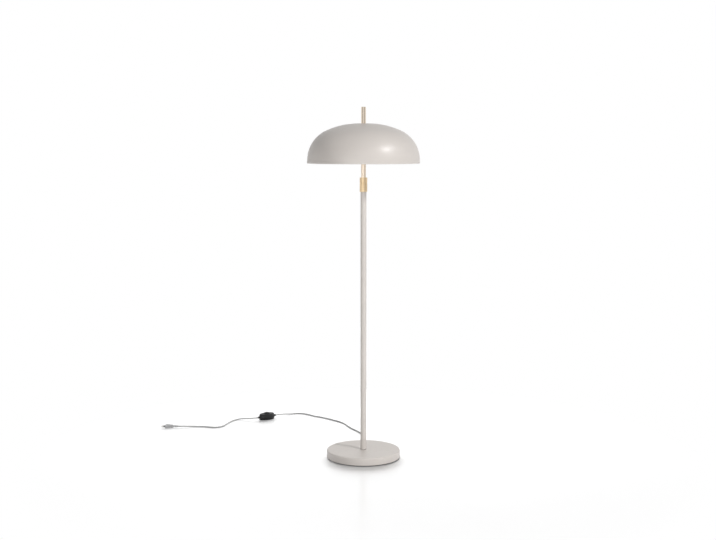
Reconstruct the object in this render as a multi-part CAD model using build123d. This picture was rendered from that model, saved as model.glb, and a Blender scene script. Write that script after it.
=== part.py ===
from build123d import *
import math
import os

# Floor lamp: a domed metal shade on a brass stem that slides and turns in a painted pole.
# Millimetres, +Z up. The origin is on the floor, at the centre of the base.
# The front of the lamp is -Y. The cord leaves the back of the base and lies on the floor.

# Base cover, weight and floor pad
base_diameter = 315.0
base_height = 35.0
base_edge_radius = 5.0
cover_wall = 1.5
cover_floor_gap = 4.0
pad_thickness = 3.0
pad_margin = 7.5
weight_thickness = 14.0
weight_edge_chamfer = 1.5
boss_diameter = 60.0
boss_channel_width = 9.0
rib_count = 3
rib_width = 9.0
rib_height = 9.0
rib_margin = 14.0

# Hollow stud that clamps the pole, the cover and the weight together
stud_diameter = 16.0
stud_bore = 11.0
stud_slot_width = 8.0
stud_engagement = 24.0
nut_across_flats = 24.0
nut_height = 7.0
washer_diameter = 34.0
washer_thickness = 2.5
foot_plug_length = 30.0
foot_gasket_thickness = 1.5
foot_gasket_margin = 0.6

# Stem and pole
stem_diameter = 20.0
stem_wall = 1.0
bush_wall = 1.15
bush_length = 40.0
pole_wall = 1.2
pole_visible_length = 1108.0
stem_visible_length = 59.5
stem_raise = 200.0
stem_drop = 120.0
stop_ring_height = 6.0
guide_spacing = 90.0
end_plug_depth = 15.0
end_plug_flange = 4.0
retaining_ring_height = 3.0

# Twist lock between the pole and the stem
lock_body_height = 36.5
lock_groove = 1.5
lock_ring_height = 22.0
lock_ring_wall = 2.0
lock_neck_wall = 1.6
lock_lip_height = 3.5
lock_socket_depth = 14.0
lock_mouth_wall = 3.5
lock_edge = 0.8
collet_wall = 2.15
collet_slit_width = 1.2
collet_solid_length = 12.0

# Shade and what clamps it
shade_diameter = 474.0
shade_height = 167.0
shade_wall = 1.0
shade_flat_radius = 22.0
shade_crown_radius = 323.0
shade_skirt = 13.5
hem_height = 10.0
hem_fold = 0.8
seat_flange_margin = 2.0
seat_flange_thickness = 4.0
seat_spigot_length = 25.0
shade_gasket_thickness = 1.0
nipple_diameter = 10.0
nipple_bore = 6.5
nipple_engagement = 28.0
finial_height = 69.0
finial_edge = 0.8

# Hub and lampholders
bulb_axis_depth = 59.0
hub_height = 34.0
hub_chamber_width = 7.5
hub_wall = 3.5
hub_floor = 5.0
hub_lid_thickness = 3.0
hub_lid_step = 2.0
wire_window_diameter = 7.0
holder_gap = 2.0
holder_length = 55.0
holder_diameter = 40.0
holder_wall = 2.0
holder_neck_diameter = 18.0
holder_neck_length = 8.0
holder_floor = 8.0
insert_thickness = 10.0
shell_length = 24.0
shell_wall = 0.6
shell_clearance = 1.1
contact_diameter = 10.0
contact_height = 2.5

# Bulbs
bulb_diameter = 60.0
bulb_length = 108.0
bulb_wall = 1.2
bulb_neck_arc = 30.0
cap_diameter = 26.2
cap_length = 27.0
cap_tip_diameter = 9.0
cap_tip_height = 1.5
cap_cone_height = 4.5

# Cord, strain relief, clamp and inner leads
cord_diameter = 6.0
cord_exit_run = 30.0
cord_entry_run = 34.0
cord_arc_share = 0.45
lead_diameter = 5.0
lead_rise = 6.5
lead_bend = 16.0
lead_reach = 28.5
gland_flange_diameter = 12.4
gland_flange_thickness = 3.0
gland_neck_diameter = 9.6
gland_collar_thickness = 2.4
gland_tail_length = 25.6
tail_end_margin = 0.9
tail_groove_count = 4
tail_groove_width = 1.6
tail_groove_depth = 0.7
clamp_distance = 100.0
clamp_length = 10.0
clamp_width = 24.0
clamp_cover = 3.0

# Foot switch on the cord
switch_centre = (-472.0, 701.0)
switch_heading = 35.0
switch_length = 86.0
switch_width = 56.0
switch_seam_height = 13.0
switch_height = 28.5
switch_wall = 2.0
switch_foot_inset = 4.0
switch_top_inset = 6.0
switch_top_round = 4.0
switch_entry_diameter = 10.0
switch_entry_reach = 6.0
switch_entry_run = 36.0
button_diameter = 30.0
button_height = 3.5
button_round = 2.0
button_flange = 1.4
button_flange_thickness = 2.0
button_wall = 2.0
button_travel = 3.0
mechanism_length = 30.0
mechanism_width = 18.0

# Flat two-pin plug at the end of the cord
plug_tail_end = (-880.0, 522.0)
plug_heading = 180.0
plug_width = 35.0
plug_thickness = 13.7
plug_shoulder_length = 10.0
plug_taper_length = 20.0
plug_neck_width = 16.0
plug_neck_length = 6.0
plug_corner_radius = 4.0
plug_edge_radius = 2.0
plug_tail_diameter = 11.0
plug_tail_length = 26.0
pin_diameter = 4.0
pin_length = 19.0
pin_spacing = 18.6

# Fits and clearances
running_fit = 0.05
sliding_gap = 0.1
thread_gap = 0.05
push_gap = 0.05
turning_gap = 0.3
weight_clearance = 1.0
recess_clearance = 3.0
stud_floor_clearance = 1.5
bore_clearance = 0.4
button_clearance = 0.3
mechanism_clearance = 0.5
gland_wall_gap = 0.2
lead_end_clearance = 10.0

# Heights along the axis, from the floor up
weight_top = pad_thickness + weight_thickness
cover_underside = base_height - cover_wall
cord_exit_height = weight_top + lead_rise
stud_bottom = pad_thickness + stud_floor_clearance
nut_top = stud_bottom + nut_height
washer_top = nut_top + washer_thickness
pole_bottom = base_height + foot_gasket_thickness
stud_top = pole_bottom + stud_engagement
lock_bottom = pole_bottom + pole_visible_length
lip_bottom = lock_bottom + lock_socket_depth
lip_top = lip_bottom + lock_lip_height
lock_shoulder = lock_bottom + lock_body_height
ring_bottom = lock_shoulder + lock_groove
ring_top = ring_bottom + lock_ring_height
shade_rim = ring_top + stem_visible_length
shade_top = shade_rim + shade_height
gasket_bottom = shade_top - shade_wall - shade_gasket_thickness
stem_top = gasket_bottom - seat_flange_thickness
finial_top = shade_top + finial_height
hub_centre = shade_top - bulb_axis_depth
hub_bottom = hub_centre - hub_height / 2
hub_top = hub_centre + hub_height / 2
stop_ring_top = lip_bottom - stem_raise - bore_clearance
bush_top = stop_ring_top - stop_ring_height - guide_spacing
bush_bottom = bush_top - bush_length
stem_bottom = bush_bottom - turning_gap
base_lead_top = pole_bottom + foot_plug_length + lead_reach
stem_lead_bottom = base_lead_top + stem_drop + lead_end_clearance

# Radii
base_radius = base_diameter / 2
cover_inner_radius = base_radius - cover_wall
weight_radius = cover_inner_radius - weight_clearance
stud_radius = stud_diameter / 2
stem_radius = stem_diameter / 2
stem_bore_radius = stem_radius - stem_wall
bush_bore_radius = stem_radius + running_fit
bush_radius = bush_bore_radius + bush_wall
pole_bore_radius = bush_radius + sliding_gap
pole_radius = pole_bore_radius + pole_wall
collet_bore_radius = stem_radius + running_fit
collet_radius = collet_bore_radius + collet_wall
lock_chamber_radius = collet_radius + sliding_gap
lock_neck_radius = lock_chamber_radius + lock_neck_wall
ring_bore_radius = lock_neck_radius + sliding_gap
lock_radius = ring_bore_radius + lock_ring_wall
lock_mouth_radius = stem_radius + turning_gap
stop_radius = pole_bore_radius - turning_gap
nipple_radius = nipple_diameter / 2
hub_chamber_radius = stem_radius + hub_chamber_width
hub_radius = hub_chamber_radius + hub_wall
shade_radius = shade_diameter / 2
cord_radius = cord_diameter / 2
lead_radius = lead_diameter / 2
cap_radius = cap_diameter / 2

# Places along a lampholder, from its threaded end outwards
holder_start = hub_radius + holder_gap
insert_start = holder_neck_length + holder_floor
insert_end = insert_start + insert_thickness
cap_start = insert_end + contact_height
cap_end = cap_start + cap_length

# Places along the cord
cord_floor_height = cord_radius
gland_end = base_radius + sliding_gap + gland_collar_thickness + gland_tail_length
entry_reach = switch_length / 2 + switch_entry_reach
plug_axis_height = plug_thickness / 2
plug_front = plug_tail_length + plug_neck_length + plug_taper_length + plug_shoulder_length

# How a block stands on the plane it is drawn on
STANDING = (Align.CENTER, Align.CENTER, Align.MIN)
BEHIND = (Align.CENTER, Align.MIN, Align.MIN)


def rod(radius, bottom, top):
    """Upright cylinder on the Z axis between two heights."""
    return Pos(0, 0, bottom) * Cylinder(radius, top - bottom, align=STANDING)


def tube(outer_radius, inner_radius, bottom, top):
    """Upright tube on the Z axis between two heights."""
    return rod(outer_radius, bottom, top) - rod(inner_radius, bottom, top)


def turned(outline):
    """Solid turned about Z from a closed half outline drawn as (radius, height)."""
    return revolve(Plane.XZ * make_face(outline), Axis.Z)


def turned_from_points(*points):
    """Solid turned about Z from a half outline with straight sides."""
    return turned(Polyline(*points, close=True))


def grooved_tail(start_radius, end_radius, start, length):
    """Tapered strain relief along Z, with ring grooves that let it bend."""
    tail = Pos(0, 0, start + length / 2) * Cone(start_radius, end_radius, length)
    cutter_radius = max(start_radius, end_radius) + tail_groove_depth
    half_width = tail_groove_width / 2
    for index in range(tail_groove_count):
        share = (index + 1) / (tail_groove_count + 1)
        middle = start + length * share
        floor_radius = start_radius + (end_radius - start_radius) * share - tail_groove_depth
        tail -= tube(cutter_radius, floor_radius, middle - half_width, middle + half_width)
    return tail


# Base


def make_base_cover():
    """Pressed steel cover with a rounded edge, open below, with a hole for the cord."""
    outside = rod(base_radius, cover_floor_gap, base_height)
    outside = fillet(outside.edges().group_by(Axis.Z)[-1], base_edge_radius)
    inside = rod(cover_inner_radius, cover_floor_gap, cover_underside)
    inside = fillet(inside.edges().group_by(Axis.Z)[-1], base_edge_radius - cover_wall)
    stud_hole = rod(stud_radius + sliding_gap, cover_floor_gap, base_height)
    hole_radius = gland_neck_diameter / 2 + sliding_gap
    cord_hole = rod(hole_radius, cover_inner_radius - cover_wall, base_radius + cover_wall)
    cord_hole = Pos(0, 0, cord_exit_height) * Rot(-90, 0, 0) * cord_hole
    return outside - inside - stud_hole - cord_hole


def make_base_weight():
    """Cast plate with a clamping boss, stiffening ribs and a way in for the lead."""
    plate = rod(weight_radius, pad_thickness, weight_top)
    plate = chamfer(plate.edges().group_by(Axis.Z)[-1], weight_edge_chamfer)
    boss_height = cover_underside - weight_top
    weight = plate + rod(boss_diameter / 2, weight_top, cover_underside)
    rib_length = weight_radius - rib_margin
    rib = Box(rib_length, rib_width, rib_height, align=(Align.MIN, Align.CENTER, Align.MIN))
    for index in range(rib_count):
        weight += Pos(0, 0, weight_top) * Rot(0, 0, index * 360 / rib_count - 90) * rib
    channel = Box(boss_channel_width, boss_diameter, boss_height, align=BEHIND)
    weight -= Pos(0, 0, weight_top) * channel
    weight -= rod(washer_diameter / 2 + recess_clearance, pad_thickness, washer_top)
    weight -= rod(stud_radius + sliding_gap, pad_thickness, cover_underside)
    return weight


def make_floor_pad():
    """Dark foam disc under the weight, set in from the rim of the cover."""
    return rod(base_radius - pad_margin, 0, pad_thickness)


def make_foot_stud():
    """Hollow clamping stud with a slot where the lead turns up into the pole."""
    stud = tube(stud_radius, stud_bore / 2, stud_bottom, stud_top)
    slot = Box(stud_slot_width, stud_diameter, cover_underside - weight_top, align=BEHIND)
    return stud - Pos(0, 0, weight_top) * slot


def make_foot_nut():
    """Hexagon nut in the recess under the weight."""
    hexagon = RegularPolygon(nut_across_flats / 2, 6, major_radius=False)
    nut = Pos(0, 0, stud_bottom) * extrude(hexagon, nut_height)
    return nut - rod(stud_radius + thread_gap, stud_bottom, nut_top)


def make_foot_washer():
    """Flat washer between the nut and the weight."""
    return tube(washer_diameter / 2, stud_radius + sliding_gap, nut_top, washer_top)


def make_foot_gasket():
    """Thin dark ring between the pole and the painted cover."""
    gasket_radius = pole_radius + foot_gasket_margin
    return tube(gasket_radius, stud_radius + sliding_gap, base_height, pole_bottom)


def make_foot_plug():
    """Threaded plug pressed into the foot of the pole."""
    plug_radius = pole_bore_radius - push_gap
    return tube(plug_radius, stud_radius + thread_gap, pole_bottom, pole_bottom + foot_plug_length)


# Pole and twist lock


def make_pole_tube():
    """Painted pole, from the gasket up into the lock."""
    return tube(pole_radius, pole_bore_radius, pole_bottom, lip_bottom)


def make_lock_body():
    """Brass lower half of the lock: a socket for the pole, a lip and a neck for the ring."""
    socket_radius = pole_radius + push_gap
    neck_top = ring_cone_height(lock_neck_radius) - turning_gap
    return turned_from_points(
        (socket_radius, lock_bottom),
        (lock_radius - lock_edge, lock_bottom),
        (lock_radius, lock_bottom + lock_edge),
        (lock_radius, lock_shoulder - lock_edge),
        (lock_radius - lock_edge, lock_shoulder),
        (lock_neck_radius, lock_shoulder),
        (lock_neck_radius, neck_top),
        (lock_chamber_radius, neck_top),
        (lock_chamber_radius, lip_top),
        (lock_mouth_radius, lip_top),
        (lock_mouth_radius, lip_bottom),
        (socket_radius, lip_bottom),
    )


def ring_cone_height(radius):
    """Height of the cone inside the lock ring, which closes the collet, at a radius."""
    return ring_top - lock_mouth_wall - (radius - lock_mouth_radius)


def make_lock_ring():
    """Brass ring that turns on the neck and squeezes the collet with its inner cone."""
    return turned_from_points(
        (ring_bore_radius, ring_bottom),
        (lock_radius - lock_edge, ring_bottom),
        (lock_radius, ring_bottom + lock_edge),
        (lock_radius, ring_top - lock_edge),
        (lock_radius - lock_edge, ring_top),
        (lock_mouth_radius, ring_top),
        (lock_mouth_radius, ring_top - lock_mouth_wall),
        (ring_bore_radius, ring_cone_height(ring_bore_radius)),
    )


def make_lock_collet():
    """Nylon sleeve round the stem, with a coned end slit into fingers."""
    tip_radius = lock_mouth_radius + turning_gap
    tip_top = ring_cone_height(tip_radius) - turning_gap
    cone_bottom = ring_cone_height(collet_radius) - turning_gap
    collet = turned_from_points(
        (collet_bore_radius, lip_top),
        (collet_radius, lip_top),
        (collet_radius, cone_bottom),
        (tip_radius, tip_top),
        (collet_bore_radius, tip_top),
    )
    slit_bottom = lip_top + collet_solid_length
    slit = Box(2 * lock_radius, collet_slit_width, ring_top - slit_bottom, align=STANDING)
    slit = Pos(0, 0, slit_bottom) * slit
    return collet - slit - Rot(0, 0, 90) * slit


# Stem and its guide


def make_guide_bush():
    """Nylon bush that slides in the pole and lets the stem turn inside it."""
    return tube(bush_radius, bush_bore_radius, bush_bottom, bush_top)


def make_stem_tube():
    """Brass stem with two windows where the wires enter the hub."""
    stem = tube(stem_radius, stem_bore_radius, stem_bottom, stem_top)
    window = rod(wire_window_diameter / 2, -stem_diameter, stem_diameter)
    return stem - Pos(0, 0, hub_centre) * Rot(0, 90, 0) * window


def make_stem_end_plug():
    """Plug in the lower end of the stem, whose flange carries the bush."""
    flange = rod(stop_radius, stem_bottom - end_plug_flange, stem_bottom)
    spigot = rod(stem_bore_radius - push_gap, stem_bottom, stem_bottom + end_plug_depth)
    lead_hole = rod(
        lead_radius + sliding_gap, stem_bottom - end_plug_flange, stem_bottom + end_plug_depth
    )
    return flange + spigot - lead_hole


def make_bush_retaining_ring():
    """Ring on the stem that keeps the bush on its end."""
    ring_base = bush_top + turning_gap
    return tube(stop_radius, stem_radius + push_gap, ring_base, ring_base + retaining_ring_height)


def make_stem_stop_ring():
    """Ring on the stem that meets the lip of the lock when the stem is fully raised."""
    return tube(stop_radius, stem_radius + push_gap, stop_ring_top - stop_ring_height, stop_ring_top)


def make_stem_lead():
    """Lead inside the stem, from the hub down into the pole."""
    return rod(lead_radius, stem_lead_bottom, hub_centre)


# Shade


def make_shade():
    """Spun dome: a flat seat, a crown arc, a shoulder arc, a straight skirt and a folded hem."""
    hole_radius = nipple_radius + sliding_gap
    skirt_top = shade_rim + shade_skirt
    span = shade_radius - shade_flat_radius
    drop = shade_top - skirt_top
    shoulder_radius = (2 * shade_crown_radius * drop - drop**2 - span**2) / (2 * (shade_crown_radius - span))
    crown_angle = math.degrees(math.atan2(span - shoulder_radius, shade_crown_radius - drop))
    shoulder_angle = 90 - crown_angle
    crown_centre = (shade_flat_radius, shade_top - shade_crown_radius)
    shoulder_centre = (shade_radius - shoulder_radius, skirt_top)
    inner_crown = shade_crown_radius - shade_wall
    inner_shoulder = shoulder_radius - shade_wall
    inner_radius = shade_radius - shade_wall
    hem_radius = shade_radius + hem_fold
    hem_top = shade_rim + hem_height
    hem_round = (hem_radius - inner_radius) / 2
    under_top = shade_top - shade_wall
    outline = [
        Line((hole_radius, shade_top), (shade_flat_radius, shade_top)),
        CenterArc(crown_centre, shade_crown_radius, 90, -crown_angle),
        CenterArc(shoulder_centre, shoulder_radius, shoulder_angle, -shoulder_angle),
        Line((shade_radius, skirt_top), (shade_radius, hem_top)),
        CenterArc((shade_radius, hem_top - hem_fold), hem_fold, 90, -90),
        Line((hem_radius, hem_top - hem_fold), (hem_radius, shade_rim + hem_round)),
        CenterArc((inner_radius + hem_round, shade_rim + hem_round), hem_round, 0, -180),
        Line((inner_radius, shade_rim + hem_round), (inner_radius, skirt_top)),
        CenterArc(shoulder_centre, inner_shoulder, 0, shoulder_angle),
        CenterArc(crown_centre, inner_crown, shoulder_angle, crown_angle),
        Line((shade_flat_radius, under_top), (hole_radius, under_top)),
        Line((hole_radius, under_top), (hole_radius, shade_top)),
    ]
    return turned(outline)


def make_shade_seat():
    """Flanged plug in the top of the stem that carries the shade."""
    flange = rod(shade_flat_radius - seat_flange_margin, stem_top, gasket_bottom)
    spigot = rod(stem_bore_radius - push_gap, stem_top - seat_spigot_length, stem_top)
    bore = rod(nipple_radius + thread_gap, stem_top - seat_spigot_length, gasket_bottom)
    return flange + spigot - bore


def make_shade_gasket():
    """Soft washer between the seat and the shade."""
    gasket_radius = shade_flat_radius - seat_flange_margin
    return tube(gasket_radius, nipple_radius + sliding_gap, gasket_bottom, shade_top - shade_wall)


def make_top_nipple():
    """Hollow threaded nipple that joins the stem to the finial through the shade."""
    bottom = stem_top - seat_spigot_length
    return tube(nipple_radius, nipple_bore / 2, bottom, shade_top + nipple_engagement)


def make_finial_rod():
    """Brass rod above the shade, screwed down on the nipple."""
    finial = rod(stem_radius, shade_top, finial_top)
    finial = fillet(finial.edges().group_by(Axis.Z)[-1], finial_edge)
    blind_bore = rod(nipple_radius + thread_gap, shade_top, shade_top + nipple_engagement + bore_clearance)
    return finial - blind_bore


# Hub and lampholders, the holders drawn upright and then laid along X


def make_hub_body():
    """Round box on the stem, open above, with a threaded hole on each side."""
    body_top = hub_top - hub_lid_thickness
    hub = rod(hub_radius, hub_bottom, body_top)
    hub -= rod(hub_chamber_radius, hub_bottom + hub_floor, body_top)
    hub -= rod(stem_radius + push_gap, hub_bottom, body_top)
    side_holes = rod(nipple_radius + thread_gap, -hub_radius, hub_radius)
    return hub - Pos(0, 0, hub_centre) * Rot(0, 90, 0) * side_holes


def make_hub_lid():
    """Lid of the hub, with a step that centres it."""
    lid_bottom = hub_top - hub_lid_thickness
    lid = rod(hub_radius, lid_bottom, hub_top)
    lid = chamfer(lid.edges().group_by(Axis.Z)[-1], lock_edge)
    lid += rod(hub_chamber_radius - sliding_gap, lid_bottom - hub_lid_step, lid_bottom)
    return lid - rod(stem_radius + push_gap, lid_bottom - hub_lid_step, hub_top)


def make_holder_nipple():
    """Hollow nipple that carries a lampholder on the hub."""
    start = hub_chamber_radius - holder_start
    return tube(nipple_radius, nipple_bore / 2, start, holder_neck_length)


def make_holder_body():
    """Lampholder cup: a neck for the nipple, a rounded shoulder and an open skirt."""
    neck_radius = holder_neck_diameter / 2
    outer_radius = holder_diameter / 2
    inner_radius = outer_radius - holder_wall
    entry_radius = nipple_radius + thread_gap
    shoulder_radius = outer_radius - neck_radius
    shoulder_end = holder_neck_length + shoulder_radius
    wire_radius = nipple_bore / 2
    outline = [
        Line((entry_radius, 0), (neck_radius, 0)),
        Line((neck_radius, 0), (neck_radius, holder_neck_length)),
        CenterArc((neck_radius, shoulder_end), shoulder_radius, -90, 90),
        Line((outer_radius, shoulder_end), (outer_radius, holder_length)),
        Line((outer_radius, holder_length), (inner_radius, holder_length)),
        Line((inner_radius, holder_length), (inner_radius, insert_start)),
        Line((inner_radius, insert_start), (wire_radius, insert_start)),
        Line((wire_radius, insert_start), (wire_radius, holder_neck_length)),
        Line((wire_radius, holder_neck_length), (entry_radius, holder_neck_length)),
        Line((entry_radius, holder_neck_length), (entry_radius, 0)),
    ]
    return turned(outline)


def make_holder_insert():
    """Ceramic disc inside the lampholder."""
    insert_radius = holder_diameter / 2 - holder_wall - sliding_gap
    return rod(insert_radius, insert_start, insert_end)


def make_holder_shell():
    """Brass screw shell of the lampholder."""
    shell_bore = cap_radius + shell_clearance
    return tube(shell_bore + shell_wall, shell_bore, insert_end, insert_end + shell_length)


def make_holder_contact():
    """Centre contact of the lampholder."""
    return rod(contact_diameter / 2, insert_end, cap_start)


def make_bulb_cap():
    """Screw cap of the bulb, from its tip to the glass."""
    tip_radius = cap_tip_diameter / 2
    tip_end = cap_start + cap_tip_height
    return turned_from_points(
        (0, cap_start),
        (tip_radius, cap_start),
        (tip_radius, tip_end),
        (cap_radius, tip_end + cap_cone_height),
        (cap_radius, cap_end),
        (0, cap_end),
    )


def make_bulb_globe():
    """Hollow globe: a straight neck, a hollow arc and a ball that meet smoothly."""
    ball_radius = bulb_diameter / 2
    ball_centre = cap_start + bulb_length - ball_radius
    arc_offset = cap_radius + bulb_neck_arc
    arc_rise = math.sqrt((bulb_neck_arc + ball_radius) ** 2 - arc_offset**2)
    arc_centre = (arc_offset, ball_centre - arc_rise)
    meeting_angle = math.degrees(math.atan2(-arc_rise, arc_offset))
    inner_ball = ball_radius - bulb_wall
    inner_arc = bulb_neck_arc + bulb_wall
    inner_neck = cap_radius - bulb_wall
    outline = [
        Line((inner_neck, cap_end), (cap_radius, cap_end)),
        Line((cap_radius, cap_end), (cap_radius, arc_centre[1])),
        CenterArc(arc_centre, bulb_neck_arc, 180, meeting_angle),
        CenterArc((0, ball_centre), ball_radius, meeting_angle, 90 - meeting_angle),
        Line((0, ball_centre + ball_radius), (0, ball_centre + inner_ball)),
        CenterArc((0, ball_centre), inner_ball, 90, meeting_angle - 90),
        CenterArc(arc_centre, inner_arc, 180 + meeting_angle, -meeting_angle),
        Line((inner_neck, arc_centre[1]), (inner_neck, cap_end)),
    ]
    return turned(outline)


def laid_along_x(solid, side):
    """A holder piece moved to its place on the right (1) or the left (-1) of the hub."""
    return Pos(side * holder_start, 0, hub_centre) * Rot(0, 90 * side, 0) * solid


# Cord, its strain relief and the inner lead


def make_cord_gland():
    """Strain relief that snaps into the back of the cover and tapers along the cord."""
    flange_radius = gland_flange_diameter / 2
    neck_radius = gland_neck_diameter / 2
    flange_end = -cover_wall - gland_wall_gap
    collar_end = sliding_gap + gland_collar_thickness
    gland = rod(flange_radius, flange_end - gland_flange_thickness, flange_end)
    gland += rod(neck_radius, flange_end, collar_end)
    gland += rod(flange_radius, sliding_gap, collar_end)
    gland += grooved_tail(neck_radius, cord_radius + tail_end_margin, collar_end, gland_tail_length)
    return Pos(0, base_radius, cord_exit_height) * Rot(-90, 0, 0) * gland


def make_cord_clamp():
    """Bridge on the weight that holds the lead against a pull."""
    clamp_height = lead_rise + lead_radius + clamp_cover
    clamp = Box(clamp_width, clamp_length, clamp_height, align=STANDING)
    clamp = chamfer(clamp.edges().filter_by(Axis.Y).group_by(Axis.Z)[-1], clamp_cover)
    lead_hole = rod(lead_radius + sliding_gap, -clamp_length, clamp_length)
    clamp -= Pos(0, 0, lead_rise) * Rot(90, 0, 0) * lead_hole
    return Pos(0, clamp_distance, weight_top) * clamp


def make_base_lead():
    """Lead inside the base, from the strain relief to the clamp and up into the pole."""
    gland_inner_face = cover_inner_radius - gland_wall_gap - gland_flange_thickness
    path = FilletPolyline(
        (0, gland_inner_face, cord_exit_height),
        (0, 0, cord_exit_height),
        (0, 0, base_lead_top),
        radius=lead_bend,
    )
    return sweep(Plane(path @ 0, z_dir=path % 0) * Circle(lead_radius), path=path)


def on_floor(point, height):
    """A point of the floor plan at a height."""
    return (point[0], point[1], height)


def ahead(point, heading, distance):
    """A point of the floor plan, moved along a heading in degrees."""
    angle = math.radians(heading)
    return (point[0] + distance * math.cos(angle), point[1] + distance * math.sin(angle))


def make_cord(name, points):
    """Tube along straight runs and tangent arcs, each arc as large as its two runs allow."""
    corners = [Vector(*point) for point in points]
    radii = []
    for before, corner, after in zip(corners, corners[1:], corners[2:]):
        turn = math.radians((corner - before).get_angle(after - corner))
        shorter_run = min((corner - before).length, (after - corner).length)
        radii.append(cord_arc_share * shorter_run / math.tan(turn / 2))
    path = FilletPolyline(*points, radius=radii)
    cord = sweep(Plane(path @ 0, z_dir=path % 0) * Circle(cord_radius), path=path)
    expected = math.pi * cord_radius**2 * path.length
    print(name, "length", round(path.length), "radii", [round(radius) for radius in radii])
    print(name, "volume over section times length", round(cord.volume / expected, 4))
    return cord


switch_lamp_end = ahead(switch_centre, switch_heading, entry_reach)
switch_plug_end = ahead(switch_centre, switch_heading, -entry_reach)

# Floor plan of the cord between the lamp and the switch
lamp_to_switch_points = [
    (0, gland_end, cord_exit_height),
    (0, gland_end + cord_exit_run, cord_exit_height),
    (-1, 264, 13),
    (-2, 310, 4.5),
    (-4, 354, cord_floor_height),
    (-9, 402, cord_floor_height),
    (-32, 456, cord_floor_height),
    (-60, 508, cord_floor_height),
    (-78, 562, cord_floor_height),
    (-97, 612, cord_floor_height),
    (-140, 663, cord_floor_height),
    (-190, 715, cord_floor_height),
    (-243, 752, cord_floor_height),
    (-284, 798, cord_floor_height),
    (-325, 813, cord_floor_height),
    (-366, 792, cord_floor_height),
    on_floor(ahead(switch_lamp_end, switch_heading, switch_entry_run), switch_seam_height),
    on_floor(switch_lamp_end, switch_seam_height),
]

# Floor plan of the cord between the switch and the plug
switch_to_plug_points = [
    on_floor(switch_plug_end, switch_seam_height),
    on_floor(ahead(switch_plug_end, switch_heading, -switch_entry_run), switch_seam_height),
    (-606, 696, cord_floor_height),
    (-639, 642, cord_floor_height),
    (-656, 585, cord_floor_height),
    (-668, 536, cord_floor_height),
    (-702, 511, cord_floor_height),
    (-757, 533, cord_floor_height),
    (-814, 535, cord_floor_height),
    on_floor(ahead(plug_tail_end, plug_heading, -cord_entry_run), plug_axis_height),
    on_floor(plug_tail_end, plug_axis_height),
]


# Foot switch, drawn along X at the origin and then laid at its place


def oval(inset):
    """Oval outline of the switch, drawn in by an inset."""
    return Ellipse(switch_length / 2 - inset, switch_width / 2 - inset)


def tapered_oval(bottom, bottom_inset, top, top_inset):
    """Solid between two ovals at two heights."""
    return loft([Pos(0, 0, bottom) * oval(bottom_inset), Pos(0, 0, top) * oval(top_inset)])


def switch_entries():
    """Round bosses at both ends, where the cord goes in."""
    bosses = rod(switch_entry_diameter / 2, -entry_reach, entry_reach)
    return Pos(0, 0, switch_seam_height) * Rot(0, 90, 0) * bosses


def switch_half_space(bottom, top):
    """Block that holds everything between two heights of the switch."""
    block = Box(2 * switch_length, 2 * switch_width, top - bottom, align=STANDING)
    return Pos(0, 0, bottom) * block


def switch_hollow():
    """Space inside both shells."""
    seam_inset = switch_wall
    lower = tapered_oval(switch_wall, switch_foot_inset + switch_wall, switch_seam_height, seam_inset)
    upper_top = switch_height - switch_wall
    upper = tapered_oval(switch_seam_height, seam_inset, upper_top, switch_top_inset + switch_wall)
    return lower + upper


def make_switch_lower_shell():
    """Lower half of the switch housing."""
    shell = tapered_oval(0, switch_foot_inset, switch_seam_height, 0)
    shell += switch_entries() & switch_half_space(0, switch_seam_height)
    return in_switch_place(shell - switch_hollow())


def make_switch_upper_shell():
    """Upper half of the switch housing, with the hole for the button."""
    shell = tapered_oval(switch_seam_height, 0, switch_height, switch_top_inset)
    shell = fillet(shell.edges().group_by(Axis.Z)[-1], switch_top_round)
    shell += switch_entries() & switch_half_space(switch_seam_height, switch_height)
    button_hole = rod(button_diameter / 2 + button_clearance, switch_seam_height, switch_height)
    return in_switch_place(shell - switch_hollow() - button_hole)


def make_switch_button():
    """Round foot button with a flange that keeps it under the shell."""
    button_radius = button_diameter / 2
    flange_top = switch_height - switch_wall - button_clearance
    flange_bottom = flange_top - button_flange_thickness
    button = rod(button_radius, flange_bottom, switch_height + button_height)
    button = fillet(button.edges().group_by(Axis.Z)[-1], button_round)
    button += rod(button_radius + button_flange, flange_bottom, flange_top)
    hollow_radius = button_radius - button_wall
    button -= rod(hollow_radius, flange_bottom, switch_height + button_height - button_wall)
    return in_switch_place(button)


def make_switch_mechanism():
    """Contact block under the button, clear of its travel."""
    flange_bottom = switch_height - switch_wall - button_clearance - button_flange_thickness
    block_top = flange_bottom - button_travel - mechanism_clearance
    block = Box(mechanism_length, mechanism_width, block_top - switch_wall, align=STANDING)
    return in_switch_place(Pos(0, 0, switch_wall) * block)


def in_switch_place(solid):
    """A switch piece moved to the place where the switch lies."""
    return Pos(switch_centre[0], switch_centre[1], 0) * Rot(0, 0, switch_heading) * solid


# Plug, drawn with its cord end at the origin and its pins towards +X


def make_plug_body():
    """Flat moulded plug with a tapered, grooved tail."""
    body_start = plug_tail_length
    taper_start = body_start + plug_neck_length
    shoulder_start = taper_start + plug_taper_length
    half_width = plug_width / 2
    half_neck = plug_neck_width / 2
    outline = Polyline(
        (body_start, -half_neck),
        (taper_start, -half_neck),
        (shoulder_start, -half_width),
        (plug_front, -half_width),
        (plug_front, half_width),
        (shoulder_start, half_width),
        (taper_start, half_neck),
        (body_start, half_neck),
        close=True,
    )
    face = make_face(outline)
    face = fillet(face.vertices(), plug_corner_radius)
    body = extrude(face, plug_thickness)
    body = fillet(body.faces().filter_by(Axis.Z).edges(), plug_edge_radius)
    tail = grooved_tail(cord_radius + tail_end_margin, plug_tail_diameter / 2, 0, plug_tail_length)
    tail += rod(plug_tail_diameter / 2, plug_tail_length, taper_start)
    body += Pos(0, 0, plug_axis_height) * Rot(0, 90, 0) * tail
    return in_plug_place(body)


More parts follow.
